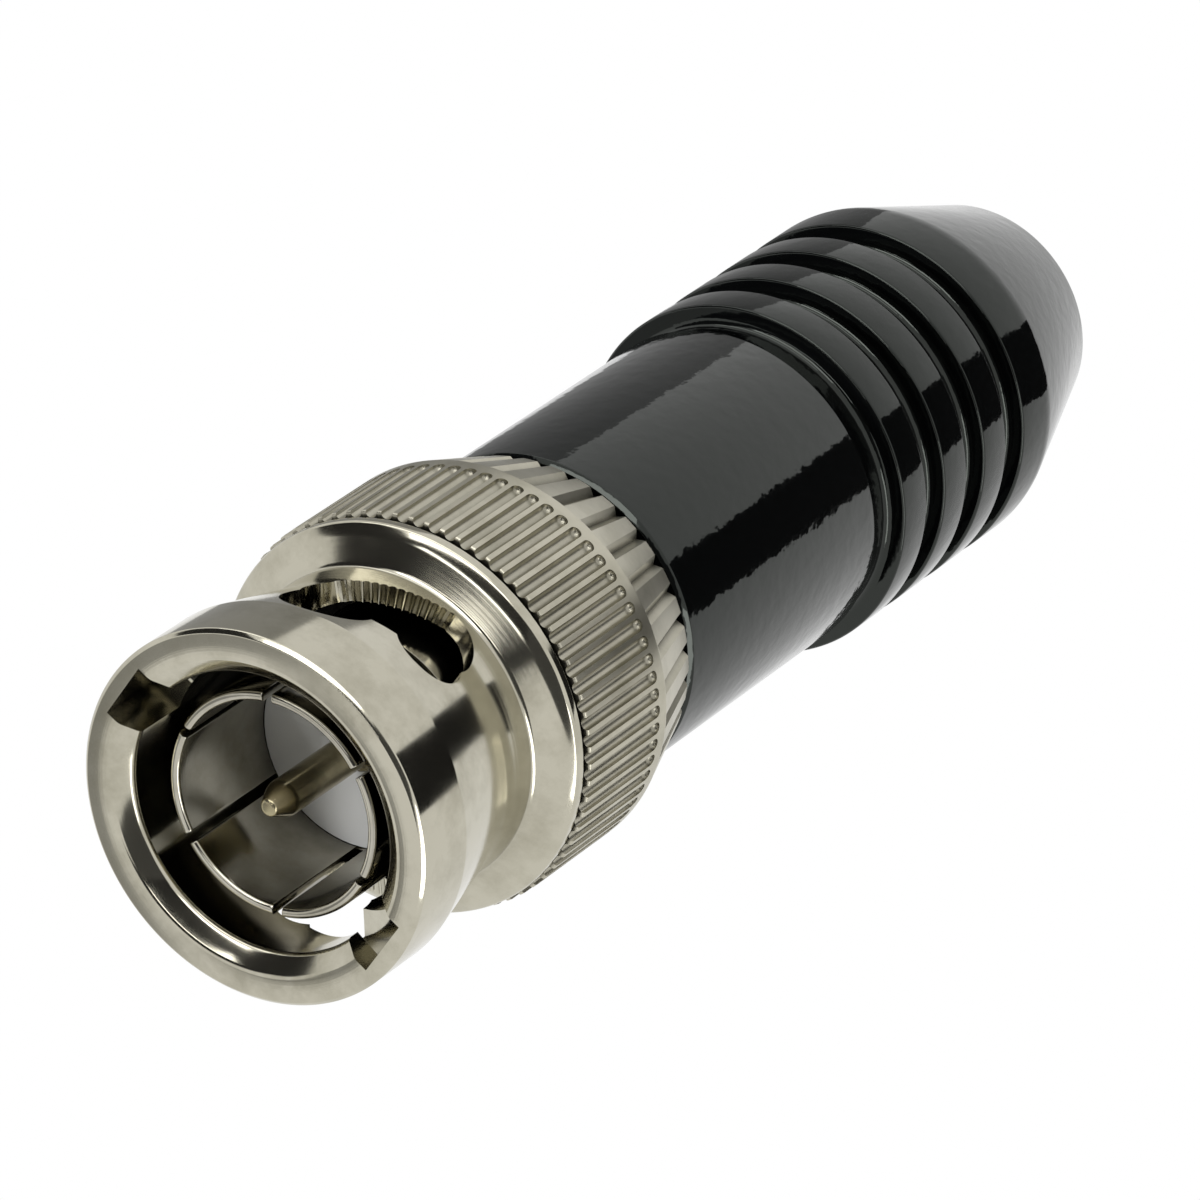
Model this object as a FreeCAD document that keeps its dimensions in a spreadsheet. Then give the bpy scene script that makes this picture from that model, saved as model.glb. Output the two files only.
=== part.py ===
# Male bayonet coaxial cable plug with a screwed metal barrel.
# Millimetres. The axis is Z, the plug stands on its cable end and its mating face is up.
import FreeCAD, Part
import Sketcher
import math
import os
import re

doc = FreeCAD.newDocument("coaxial_plug")

# Driving dimensions
sizes = {
    # barrel, from its cable end upward
    "barrel_length": 30.2,
    "plain_radius": 6.05,
    "land_radius": 6.5,
    "cable_end_radius": 4.36,
    "cone_length": 6.4,
    "last_land_length": 1.88,
    "groove_pitch": 2.8,
    "groove_width": 1.24,
    "groove_depth": 0.75,
    "groove_fillet": 0.3,
    "cable_hole_radius": 3.3,
    "cable_hole_chamfer": 0.3,
    "cable_end_edge": 0.2,
    "liner_seat_height": 6.9,
    "front_edge": 0.16,
    # plug body
    "thread_radius": 4.5,
    "thread_length": 4.35,
    "thread_relief": 0.15,
    "spigot_length": 6.25,
    "spigot_radius": 4.55,
    "flange_radius": 5.2,
    "flange_thickness": 1.2,
    "sleeve_length": 8.86,
    "sleeve_radius": 4.02,
    "sleeve_wall": 0.36,
    "sleeve_edge": 0.08,
    "sleeve_slot_width": 0.36,
    "sleeve_slot_length": 5.2,
    "finger_relief": 0.18,
    "finger_relief_length": 0.6,
    "finger_relief_overrun": 0.1,
    "sleeve_turn": 6.0,
    "rear_bore_radius": 4.0,
    "ledge_depth": 0.5,
    # contact and insulators
    "pin_radius": 0.65,
    "pin_root_radius": 0.85,
    "pin_length": 8.7,
    "tip_length": 1.4,
    "tip_radius": 0.1,
    "collar_radius": 1.2,
    "collar_length": 2.0,
    "shank_radius": 1.0,
    "shank_length": 5.6,
    "cup_radius": 0.62,
    "cup_depth": 3.0,
    "cup_window": 2.0,
    "insulator_nose": 4.3,
    "insulator_shoulder": 2.5,
    "rear_insulator_length": 2.4,
    "bush_length": 1.6,
    "bush_wall": 1.5,
    # cable clamp and liner
    "clamp_ring_length": 0.8,
    "clamp_inner_radius": 2.85,
    "strap_thickness": 0.5,
    "tongue_length": 13.2,
    "tongue_span": 60.0,
    "saddle_length": 4.0,
    "saddle_span": 270.0,
    "liner_wall": 0.45,
    "liner_top_gap": 0.35,
    # washers and ring
    "gasket_thickness": 0.8,
    "gasket_radius": 4.8,
    "thrust_washer_thickness": 0.3,
    "wave_height": 1.2,
    "wave_strip": 0.25,
    "ring_thickness": 0.7,
    "ring_depth": 0.32,
    "ring_wall": 0.87,
    "ring_gap_angle": 14.0,
    # coupling nut, from its mating face down
    "nut_gap": 0.3,
    "nut_bore_radius": 4.94,
    "nut_counterbore_radius": 5.3,
    "nose_radius": 6.61,
    "nose_length": 2.52,
    "taper_length": 4.08,
    "nose_chamfer": 0.18,
    "lead_in_radius": 5.6,
    "lead_in_depth": 0.5,
    "neck_radius": 5.68,
    "neck_length": 1.45,
    "ridge_height": 0.1,
    "rim_face_radius": 6.66,
    "rim_face_length": 0.42,
    "rim_radius": 7.0,
    "rim_bevel_length": 0.25,
    "rim_length": 0.35,
    "rim_groove_width": 0.2,
    "rim_groove_depth": 0.3,
    "knurl_radius": 7.14,
    "knurl_bevel": 0.12,
    "front_band_length": 4.75,
    "rear_band_length": 3.13,
    "rear_tip_radius": 6.12,
    "flute_width": 0.42,
    "flute_depth": 0.24,
    "flute_length": 4.4,
    "tooth_gap_width": 0.52,
    "tooth_depth": 0.3,
    "tooth_land": 0.3,
    # bayonet slots, depths from the mating face and turns from the entry notch
    "notch_width": 2.3,
    "track_radius": 6.0,
    "track_width": 2.2,
    "track_depth": 1.6,
    "track_pitch": 14.6,
    "window_turn": 52.0,
    "window_depth": 4.75,
    "window_radius": 2.05,
    "ramp_depth": 5.3,
    "ramp_width": 3.15,
    "ramp_pitch": 8.6,
    "ramp_turn": 88.0,
    "seat_turn": 92.5,
    "seat_depth": 5.2,
    "seat_radius": 1.3,
    # clearances
    "fit_gap": 0.02,
    "running_gap": 0.05,
    "washer_gap": 0.08,
}
flute_count = 72
tooth_count = 36
sleeve_slots = 6
barrel_grooves = 4
wave_count = 3

sheet = doc.addObject("Spreadsheet::Sheet", "Sizes")
for row, (alias, value) in enumerate(sizes.items(), start=1):
    sheet.set(f"A{row}", alias)
    sheet.set(f"B{row}", str(value))
    sheet.setAlias(f"B{row}", alias)
doc.recompute()

# Heights up the axis, each worked out from the driving dimensions
thread_end = "barrel_length - thread_length"
flange_rear = "barrel_length + spigot_length"
flange_front = f"{flange_rear} + flange_thickness"
sleeve_front = f"{flange_front} + sleeve_length"
ledge = f"{flange_front} - ledge_depth"
insulator_joint = f"{ledge} - insulator_shoulder"
bush_top = f"{insulator_joint} - rear_insulator_length"
clamp_top = f"{bush_top} - bush_length"
clamp_bottom = f"{clamp_top} - clamp_ring_length"
spring_top = f"{flange_rear} - thrust_washer_thickness"
spring_bottom = f"{spring_top} - wave_height"
ring_top = f"{spring_bottom} - thrust_washer_thickness"
ring_bottom = f"{ring_top} - ring_thickness"
nut_rear = "barrel_length + nut_gap"
band_joint = f"{nut_rear} + rear_band_length"
band_front = f"{band_joint} + front_band_length"
rim_rear = f"{band_front} + rim_groove_width"
rim_front = f"{rim_rear} + rim_length"
rim_corner = f"{rim_front} + rim_bevel_length"
neck_rear = f"{rim_corner} + rim_face_length"
taper_rear = f"{neck_rear} + neck_length"
nose_rear = f"{taper_rear} + taper_length"
nut_face = f"{nose_rear} + nose_length"
groove_floor = "land_radius - groove_depth"
sleeve_bore = "sleeve_radius - sleeve_wall"
liner_radius = "spigot_radius - 0.3 - running_gap"


def bound(text):
    """The expression with each alias read from the sheet."""
    return re.sub(r"[a-z]+(?:_[a-z]+)+", lambda word: f"Sizes.{word.group(0)}" if word.group(0) in sizes else word.group(0), text)


def number(text):
    return float(sheet.evalExpression(bound(text)))


def plane(body, role):
    return next(feature for feature in body.Origin.OriginFeatures if feature.Role == role)


def new_body(label):
    body = doc.addObject("PartDesign::Body", label)
    body.Label = label
    return body


def new_sketch(body, name, role, height=None, turn=None):
    """A sketch on one of the body's own planes, raised along Z or turned about Z where asked."""
    sketch = body.newObject("Sketcher::SketchObject", name)
    sketch.AttachmentSupport = [(plane(body, role), "")]
    sketch.MapMode = "FlatFace"
    if height:
        sketch.setExpression(".AttachmentOffset.Base.z", bound(height))
    if turn:
        sketch.AttachmentOffset = FreeCAD.Placement(FreeCAD.Vector(), FreeCAD.Rotation(FreeCAD.Vector(0, 1, 0), 1))
        sketch.setExpression(".AttachmentOffset.Rotation.Angle", bound(turn))
    return sketch


def outline(sketch, corners):
    """A closed outline. Each corner is (x, y), or (x, y, radius, side) for an arc that ends there.

    Side is 1 where the arc turns left on its way to the corner and -1 where it turns right.
    """
    values = [FreeCAD.Vector(number(corner[0]), number(corner[1]), 0) for corner in corners]
    starts = []
    for index, corner in enumerate(corners):
        start, end = values[index - 1], values[index]
        if len(corner) == 2:
            sketch.addGeometry(Part.LineSegment(start, end))
            starts.append((1, 2))
            continue
        radius, side = number(corner[2]), corner[3]
        chord = end - start
        middle = (start + end) * 0.5
        rise = math.sqrt(max(radius**2 - chord.Length**2 / 4, 0.0))
        centre = middle + FreeCAD.Vector(-chord.y, chord.x, 0).normalize() * rise * side
        first, last = (start, end) if side > 0 else (end, start)
        angles = [math.atan2(point.y - centre.y, point.x - centre.x) for point in (first, last)]
        circle = Part.Circle(centre, FreeCAD.Vector(0, 0, 1), radius)
        sketch.addGeometry(Part.ArcOfCircle(circle, angles[0], angles[1]))
        starts.append((1, 2) if side > 0 else (2, 1))
    for index, corner in enumerate(corners):
        following = (index + 1) % len(corners)
        sketch.addConstraint(Sketcher.Constraint("Coincident", index, starts[index][1], following, starts[following][0]))
        across = Sketcher.Constraint("DistanceX", -1, 1, index, starts[index][1], values[index].x)
        sketch.setExpression(f"Constraints[{sketch.addConstraint(across)}]", bound(corner[0]))
        upward = Sketcher.Constraint("DistanceY", -1, 1, index, starts[index][1], values[index].y)
        sketch.setExpression(f"Constraints[{sketch.addConstraint(upward)}]", bound(corner[1]))
        if len(corner) == 4:
            round_edge = Sketcher.Constraint("Radius", index, number(corner[2]))
            sketch.setExpression(f"Constraints[{sketch.addConstraint(round_edge)}]", bound(corner[2]))


def ring_outline(inner, outer, low, high):
    return [(inner, low), (outer, low), (outer, high), (inner, high)]


def revolved(body, name, corners, span=None, kind="Revolution"):
    """The outline turned about Z: all the way, or the given span with its middle on the X axis."""
    sketch = new_sketch(body, f"{name}_profile", "XZ_Plane")
    outline(sketch, corners)
    feature = body.newObject(f"PartDesign::{kind}", name)
    feature.Profile = sketch
    feature.ReferenceAxis = (sketch, ["V_Axis"])
    if span:
        feature.Midplane = True
        feature.setExpression("Angle", bound(span))
    return feature


def pocket(body, name, sketch, length, both_ways=False):
    feature = body.newObject("PartDesign::Pocket", name)
    feature.Profile = sketch
    feature.setExpression("Length", bound(length))
    feature.Midplane = both_ways
    return feature


def repeated(body, feature, count):
    """The feature repeated evenly about Z."""
    pattern = body.newObject("PartDesign::PolarPattern", f"{feature.Name}_round")
    pattern.Originals = [feature]
    pattern.Axis = (plane(body, "Z_Axis"), [""])
    pattern.Angle = 360
    pattern.Occurrences = count
    body.Tip = pattern
    return pattern


def make_barrel():
    """One turned piece: plain front, four grooves, conical cable end."""
    body = new_body("barrel")
    corners = [("cable_hole_radius + cable_hole_chamfer", "0"), ("cable_end_radius - cable_end_edge", "0")]
    corners += [("cable_end_radius", "cable_end_edge"), ("land_radius", "cone_length")]
    for index in range(barrel_grooves):
        low = f"cone_length + last_land_length + {index} * groove_pitch"
        high = f"{low} + groove_width"
        front_radius = "land_radius" if index < barrel_grooves - 1 else "plain_radius"
        front_fillet = "groove_fillet" if index < barrel_grooves - 1 else f"(plain_radius - ({groove_floor})) / 2"
        corners += [("land_radius", low), (f"{groove_floor} + groove_fillet", low)]
        corners += [(groove_floor, f"{low} + groove_fillet", "groove_fillet", -1), (groove_floor, f"{high} - {front_fillet}")]
        corners += [(f"{groove_floor} + {front_fillet}", high, front_fillet, -1), (front_radius, high)]
    corners += [("plain_radius", "barrel_length - front_edge"), ("plain_radius - front_edge", "barrel_length")]
    corners += [("thread_radius + running_gap", "barrel_length"), ("thread_radius + running_gap", thread_end)]
    corners += [(f"{liner_radius} + running_gap", thread_end), (f"{liner_radius} + running_gap", "liner_seat_height")]
    corners += [("cable_hole_radius", "liner_seat_height"), ("cable_hole_radius", "cable_hole_chamfer")]
    revolved(body, "barrel_turned", corners)
    return body


def make_plug_body():
    """Turned body: thread, spigot for the nut, flange and slotted outer contact sleeve."""
    body = new_body("plug_body")
    corners = [("rear_bore_radius", thread_end), ("thread_radius", thread_end), ("thread_radius", "barrel_length - thread_relief")]
    corners += [("spigot_radius", "barrel_length"), ("spigot_radius", flange_rear), ("flange_radius", flange_rear)]
    relief_end = f"{sleeve_front} - sleeve_slot_length + finger_relief_overrun"
    relief_start = f"{relief_end} - finger_relief_length"
    corners += [("flange_radius", flange_front), ("sleeve_radius", flange_front), ("sleeve_radius", relief_start)]
    corners += [("sleeve_radius - finger_relief", relief_start), ("sleeve_radius - finger_relief", relief_end)]
    corners += [("sleeve_radius", relief_end)]
    corners += [("sleeve_radius", f"{sleeve_front} - sleeve_edge"), ("sleeve_radius - sleeve_edge", sleeve_front)]
    corners += [(f"{sleeve_bore} + sleeve_edge", sleeve_front), (sleeve_bore, f"{sleeve_front} - sleeve_edge")]
    corners += [(sleeve_bore, ledge), ("rear_bore_radius", ledge)]
    revolved(body, "body_turned", corners)
    sketch = new_sketch(body, "contact_slot_outline", "XY_Plane", height=sleeve_front)
    inside, outside = f"{sleeve_bore} - sleeve_wall", "sleeve_radius + sleeve_wall"
    outline(sketch, ring_outline(inside, outside, "-sleeve_slot_width / 2", "sleeve_slot_width / 2"))
    repeated(body, pocket(body, "contact_slot", sketch, "sleeve_slot_length"), sleeve_slots)
    body.Placement = FreeCAD.Placement(FreeCAD.Vector(), FreeCAD.Rotation(FreeCAD.Vector(0, 0, 1), 1))
    body.setExpression(".Placement.Rotation.Angle", bound("sleeve_turn"))
    return body


def make_centre_contact():
    """Pointed pin, collar trapped by the insulators, shank with a solder cup cut open on one side."""
    body = new_body("centre_contact")
    shank_end = f"{insulator_joint} - shank_length"
    collar_top = f"{insulator_joint} + collar_length"
    cone_base = f"{collar_top} + pin_length"
    corners = [("cup_radius", shank_end), ("shank_radius", shank_end), ("shank_radius", insulator_joint)]
    root_end = f"{ledge} + insulator_nose"
    corners += [("collar_radius", insulator_joint), ("collar_radius", collar_top), ("pin_root_radius", collar_top)]
    corners += [("pin_root_radius", root_end), ("pin_radius", root_end), ("pin_radius", cone_base)]
    corners += [("tip_radius", f"{cone_base} + tip_length"), ("0", f"{cone_base} + tip_length")]
    corners += [("0", f"{shank_end} + cup_depth"), ("cup_radius", f"{shank_end} + cup_depth")]
    revolved(body, "contact_turned", corners)
    sketch = new_sketch(body, "cup_window_outline", "XY_Plane", height=f"{shank_end} + cup_window")
    outline(sketch, ring_outline("0", "2 * shank_radius", "-2 * shank_radius", "2 * shank_radius"))
    pocket(body, "cup_opening", sketch, "cup_window")
    return body


def make_coupling_nut():
    """Nose with two bayonet slots, neck, rim, and a knurl in two bands."""
    body = new_body("coupling_nut")
    stop = f"{flange_front} + running_gap"
    groove_radius = "nut_counterbore_radius + ring_depth + running_gap"
    ring_low, ring_high = f"{ring_bottom} - fit_gap", f"{ring_top} + fit_gap"
    corners = [("nut_counterbore_radius", nut_rear), ("rear_tip_radius", nut_rear), ("knurl_radius", band_joint)]
    corners += [("knurl_radius", f"{band_front} - knurl_bevel"), ("knurl_radius - knurl_bevel", band_front)]
    corners += [("rim_radius - rim_groove_depth", band_front), ("rim_radius - rim_groove_depth", rim_rear)]
    corners += [("rim_radius", rim_rear), ("rim_radius", rim_front), ("rim_face_radius", rim_corner)]
    corners += [("neck_radius + ridge_height", neck_rear), ("neck_radius", f"{neck_rear} + ridge_height")]
    corners += [("neck_radius", taper_rear), ("nose_radius", nose_rear)]
    corners += [("nose_radius", f"{nut_face} - nose_chamfer"), ("nose_radius - nose_chamfer", nut_face)]
    corners += [("lead_in_radius", nut_face), ("nut_bore_radius", f"{nut_face} - lead_in_depth"), ("nut_bore_radius", stop)]
    corners += [("nut_counterbore_radius", stop), ("nut_counterbore_radius", ring_high), (groove_radius, ring_high)]
    corners += [(groove_radius, ring_low), ("nut_counterbore_radius", ring_low)]
    revolved(body, "nut_turned", corners)

    # entry notches, straight in from the mating face
    inside = "nut_bore_radius - 1"
    sketch = new_sketch(body, "entry_notch_outline", "XY_Plane", height=nut_face)
    outline(sketch, ring_outline(inside, "track_radius", "-notch_width / 2", "notch_width / 2"))
    notch = pocket(body, "entry_notch", sketch, "track_depth + track_width / 2")
    repeated(body, notch, 2)

    # blind track behind the nose, then the ramp cut right through the wall
    through = "nose_radius + 1"
    stretches = (("track", "track_radius", "0", "window_turn"), ("ramp", through, "window_turn", "ramp_turn"))
    for name, radius, begin, end in stretches:
        middle = f"{nut_face} - {name}_depth"
        sketch = new_sketch(body, f"{name}_outline", "XZ_Plane", turn=f"-({begin})" if name == "ramp" else None)
        low, high = f"{middle} - {name}_width / 2", f"{middle} + {name}_width / 2"
        outline(sketch, ring_outline(inside, radius, low, high))
        stretch = body.newObject("PartDesign::SubtractiveHelix", name)
        stretch.Profile = sketch
        stretch.ReferenceAxis = (plane(body, "Z_Axis"), [""])
        stretch.Mode = "pitch-turns-angle"
        stretch.Reversed = True
        stretch.setExpression("Pitch", bound(f"{name}_pitch"))
        stretch.setExpression("Turns", bound(f"({end} - ({begin})) / 360"))
        repeated(body, stretch, 2)

    # round start and end of the ramp, and the seat that the lug drops forward into
    ramp_end = f"{nut_face} - ramp_depth - ramp_pitch * (ramp_turn - window_turn) / 360"
    rounds = [("window", "window_turn", f"{nut_face} - window_depth", "window_radius")]
    rounds += [("ramp_end", "ramp_turn", ramp_end, "ramp_width / 2")]
    rounds += [("seat", "seat_turn", f"{nut_face} - seat_depth", "seat_radius")]
    for name, turn, height, radius in rounds:
        sketch = new_sketch(body, f"{name}_outline", "YZ_Plane")
        sketch.AttachmentOffset = FreeCAD.Placement(FreeCAD.Vector(), FreeCAD.Rotation(FreeCAD.Vector(0, 1, 0), 1))
        sketch.setExpression(".AttachmentOffset.Rotation.Angle", bound(f"-{turn}"))
        sketch.addGeometry(Part.Circle(FreeCAD.Vector(0, number(height), 0), FreeCAD.Vector(0, 0, 1), number(radius)))
        sketch.addConstraint(Sketcher.Constraint("PointOnObject", 0, 3, -2))
        upward = sketch.addConstraint(Sketcher.Constraint("DistanceY", -1, 1, 0, 3, number(height)))
        sketch.setExpression(f"Constraints[{upward}]", bound(height))
        width = sketch.addConstraint(Sketcher.Constraint("Radius", 0, number(radius)))
        sketch.setExpression(f"Constraints[{width}]", bound(radius))
        hole = pocket(body, name, sketch, through)
        hole.Reversed = True
        repeated(body, hole, 2)

    # front band: flutes open at the front edge, round at the rear
    sketch = new_sketch(body, "flute_outline", "YZ_Plane", height="knurl_radius - flute_depth")
    half = "flute_width / 2"
    front, rear = f"{band_front} + rim_groove_width / 2", f"{band_front} - flute_length"
    corners = [(f"-{half}", f"{rear} + {half}"), (half, f"{rear} + {half}", f"1.1 * {half}", 1)]
    corners += [(half, front), (f"-{half}", front)]
    outline(sketch, corners)
    flute = pocket(body, "flute", sketch, "1")
    flute.Reversed = True
    repeated(body, flute, flute_count)

    # rear band: short teeth on the cone, open at the rear
    sketch = new_sketch(body, "tooth_outline", "XZ_Plane")
    slope = "(knurl_radius - rear_tip_radius) / rear_band_length"
    top = f"{band_joint} - tooth_land"
    top_root = f"knurl_radius - {slope} * tooth_land - tooth_depth"
    corners = [("rear_tip_radius - tooth_depth - 0.2 * " + slope, f"{nut_rear} - 0.2"), ("knurl_radius + 1", f"{nut_rear} - 0.2")]
    corners += [("knurl_radius + 1", top), (top_root, top)]
    outline(sketch, corners)
    gap = pocket(body, "tooth_gap", sketch, "tooth_gap_width", both_ways=True)
    repeated(body, gap, tooth_count)
    return body


def make_ring(label, inner, outer, low, high, span=None):
    body = new_body(label)
    revolved(body, f"{label}_turned", ring_outline(inner, outer, low, high), span)
    return body


def make_front_insulator():
    body = new_body("front_insulator")
    nose, shoulder = f"{sleeve_bore} - fit_gap", "rear_bore_radius - fit_gap"
    corners = [("collar_radius + fit_gap", insulator_joint), (shoulder, insulator_joint), (shoulder, ledge), (nose, ledge)]
    corners += [(nose, f"{ledge} + insulator_nose"), ("pin_root_radius + fit_gap", f"{ledge} + insulator_nose")]
    corners += [("pin_root_radius + fit_gap", f"{insulator_joint} + collar_length")]
    corners += [("collar_radius + fit_gap", f"{insulator_joint} + collar_length")]
    revolved(body, "insulator_turned", corners)
    return body


def make_cable_clamp():
    """Ring behind the bush, tongue along the cable, saddle bent round it."""
    body = new_body("cable_clamp")
    inner, outer = "clamp_inner_radius", "clamp_inner_radius + strap_thickness"
    tongue_end = f"{clamp_bottom} - tongue_length"
    revolved(body, "clamp_ring", ring_outline(inner, "rear_bore_radius - fit_gap", clamp_bottom, clamp_top))
    revolved(body, "clamp_tongue", ring_outline(inner, outer, tongue_end, clamp_bottom), "tongue_span")
    revolved(body, "clamp_saddle", ring_outline(inner, outer, tongue_end, f"{tongue_end} + saddle_length"), "saddle_span")
    return body


def make_wave_washer():
    """Spring strip in a ring, bent into even waves."""
    washer = doc.addObject("Part::Feature", "wave_washer")
    low, high = number(spring_bottom), number(spring_top)
    middle = (low + high - sizes["wave_strip"]) / 2
    swing = (high - low - sizes["wave_strip"]) / 2
    steps = 12 * wave_count
    edges = []
    for radius in (number("spigot_radius + 2 * running_gap"), number("nut_counterbore_radius - 2 * washer_gap")):
        points = []
        for step in range(steps):
            angle = 2 * math.pi * step / steps
            height = middle + swing * math.cos(wave_count * angle)
            points.append(FreeCAD.Vector(radius * math.cos(angle), radius * math.sin(angle), height))
        curve = Part.BSplineCurve()
        curve.interpolate(Points=points, PeriodicFlag=True)
        edges.append(curve.toShape())
    strip = Part.makeRuledSurface(edges[0], edges[1]).extrude(FreeCAD.Vector(0, 0, sizes["wave_strip"]))
    washer.Shape = strip
    washer.Placement = FreeCAD.Placement()
    washer.Label = "wave_washer"
    return washer


washer_inner, washer_outer = "spigot_radius + washer_gap", "nut_counterbore_radius - washer_gap"
insulator_outer = "rear_bore_radius - fit_gap"
ring_outer = "nut_counterbore_radius + ring_depth"
liner_inner = f"{liner_radius} - liner_wall"

parts = [
    make_barrel(),
    make_ring("liner_tube", liner_inner, liner_radius, "liner_seat_height", f"{thread_end} - liner_top_gap"),
    make_plug_body(),
    make_ring("face_gasket", "sleeve_radius + running_gap", "gasket_radius", flange_front, f"{flange_front} + gasket_thickness"),
    make_front_insulator(),
    make_centre_contact(),
    make_ring("rear_insulator", "shank_radius + fit_gap", insulator_outer, bush_top, insulator_joint),
    make_ring("insulator_bush", "rear_bore_radius - bush_wall", insulator_outer, clamp_top, bush_top),
    make_cable_clamp(),
    make_ring("front_thrust_washer", washer_inner, washer_outer, spring_top, flange_rear),
    make_wave_washer(),
    make_ring("rear_thrust_washer", washer_inner, washer_outer, ring_top, spring_bottom),
    make_ring("retaining_ring", f"{ring_outer} - ring_wall", ring_outer, ring_bottom, ring_top, "360 - ring_gap_angle"),
    make_coupling_nut(),
]

doc.recompute()
for item in doc.Objects:
    if "Invalid" in item.State or "Error" in item.State:
        raise RuntimeError(f"{item.Name} failed: {item.State}")
os.makedirs("parts", exist_ok=True)
for part in parts:
    shape = part.Shape
    if shape.isNull() or not shape.isValid() or len(shape.Solids) != 1:
        raise RuntimeError(f"{part.Label} is not one valid solid")
for part in parts:
    part.Shape.exportStep(f"parts/{part.Label}.step")
    box = part.Shape.BoundBox
    print(f"{part.Label}: {part.Shape.Volume:.2f} mm3, z {box.ZMin:.2f} to {box.ZMax:.2f}, radius {box.XMax:.2f}")
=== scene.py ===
import math
import bmesh
import bpy
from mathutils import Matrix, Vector


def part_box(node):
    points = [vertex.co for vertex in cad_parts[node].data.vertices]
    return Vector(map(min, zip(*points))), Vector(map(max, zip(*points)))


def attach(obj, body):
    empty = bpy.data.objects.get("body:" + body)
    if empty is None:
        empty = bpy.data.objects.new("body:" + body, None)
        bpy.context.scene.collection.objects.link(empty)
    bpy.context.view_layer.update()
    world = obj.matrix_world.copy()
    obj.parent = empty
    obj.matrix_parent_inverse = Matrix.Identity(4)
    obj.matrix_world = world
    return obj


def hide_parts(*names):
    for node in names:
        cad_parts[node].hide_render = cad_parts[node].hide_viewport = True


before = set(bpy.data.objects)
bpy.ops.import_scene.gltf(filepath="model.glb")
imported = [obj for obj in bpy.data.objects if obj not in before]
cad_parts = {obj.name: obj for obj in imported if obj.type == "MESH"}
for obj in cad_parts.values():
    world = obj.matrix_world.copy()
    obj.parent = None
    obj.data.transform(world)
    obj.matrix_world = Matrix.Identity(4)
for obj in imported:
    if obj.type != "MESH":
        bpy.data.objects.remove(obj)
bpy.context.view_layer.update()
mm = 0.001
weldGap = 0.0005 * mm  # vertices nearer than this are one
cornerGap = 0.001 * mm  # a vertex this near to a corner of the outline belongs to it
cornerSegments = 4
rampStep = 1.25  # degrees in one step of a swept cutter
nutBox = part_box("coupling_nut")
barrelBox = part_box("barrel")
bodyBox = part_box("plug_body")
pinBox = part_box("centre_contact")
print("frame loaded")


# helpers for modelling

def deselectAll():
    if bpy.context.object and bpy.context.object.mode != "OBJECT":
        bpy.ops.object.mode_set(mode="OBJECT")
    bpy.ops.object.select_all(action="DESELECT")


def pick(piece):
    deselectAll()
    piece.select_set(True)
    bpy.context.view_layer.objects.active = piece


def settle(piece, name):
    # the piece keeps its place in its mesh, as the CAD nodes do
    pick(piece)
    piece.name = name
    bpy.ops.object.transform_apply(location=True, rotation=True, scale=True)
    return piece


def applyModifier(piece, kind, **settings):
    pick(piece)
    modifier = piece.modifiers.new(kind.lower(), kind)
    for setting, value in settings.items():
        setattr(modifier, setting, value)
    bpy.ops.object.modifier_apply(modifier=modifier.name)


def closeUp(piece):
    # doubles are merged first, then all faces are turned outwards
    pick(piece)
    bpy.ops.object.mode_set(mode="EDIT")
    bpy.ops.mesh.select_all(action="SELECT")
    bpy.ops.mesh.remove_doubles(threshold=weldGap)
    bpy.ops.mesh.normals_make_consistent(inside=False)
    bpy.ops.object.mode_set(mode="OBJECT")


def smoothEdges(piece, angle):
    pick(piece)
    bpy.ops.object.shade_smooth_by_angle(angle=math.radians(angle))


def turned(name, profile, steps):
    # a point is drawn round the outline, its corners are rounded, then it is spun about the plug's axis
    corners = [(corner[0] * mm, corner[1] * mm) for corner in profile]
    deselectAll()
    bpy.ops.mesh.primitive_plane_add(size=mm, location=(corners[0][0], 0, corners[0][1]))
    piece = settle(bpy.context.object, name)
    bpy.ops.object.mode_set(mode="EDIT")
    bpy.ops.mesh.select_all(action="SELECT")
    bpy.ops.mesh.merge(type="CENTER")
    here = corners[0]
    for corner in corners[1:] + corners[:1]:
        move = (corner[0] - here[0], 0, corner[1] - here[1])
        bpy.ops.mesh.extrude_vertices_move(TRANSFORM_OT_translate={"value": move})
        here = corner
    bpy.ops.mesh.select_all(action="SELECT")
    bpy.ops.mesh.remove_doubles(threshold=weldGap)
    for softness in sorted({corner[2] for corner in profile if len(corner) == 3}):
        rounded = [corner for corner in profile if len(corner) == 3 and corner[2] == softness]
        bpy.ops.mesh.select_all(action="DESELECT")
        mesh = bmesh.from_edit_mesh(piece.data)
        for vertex in mesh.verts:
            near = [abs(vertex.co.x - c[0] * mm) + abs(vertex.co.z - c[1] * mm) for c in rounded]
            vertex.select = min(near) < cornerGap
        mesh.select_flush_mode()
        bmesh.update_edit_mesh(piece.data)
        bpy.ops.mesh.bevel(offset=softness * mm, segments=cornerSegments, affect="VERTICES")
    bpy.ops.mesh.select_all(action="SELECT")
    bpy.ops.mesh.spin(steps=steps, angle=2 * math.pi, center=(0, 0, 0), axis=(0, 0, 1))
    closeUp(piece)
    return piece


def ringCopies(piece, count):
    # the shape is repeated evenly round the plug's axis inside its own mesh
    pick(piece)
    bpy.ops.object.mode_set(mode="EDIT")
    bpy.ops.mesh.select_all(action="SELECT")
    turn = 2 * math.pi * (count - 1) / count
    bpy.ops.mesh.spin(steps=count - 1, angle=turn, center=(0, 0, 0), axis=(0, 0, 1), dupli=True)
    bpy.ops.object.mode_set(mode="OBJECT")
    return piece


def cut(piece, cutter):
    applyModifier(piece, "BOOLEAN", operation="DIFFERENCE", solver="EXACT", object=cutter)
    bpy.data.objects.remove(cutter)


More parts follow.
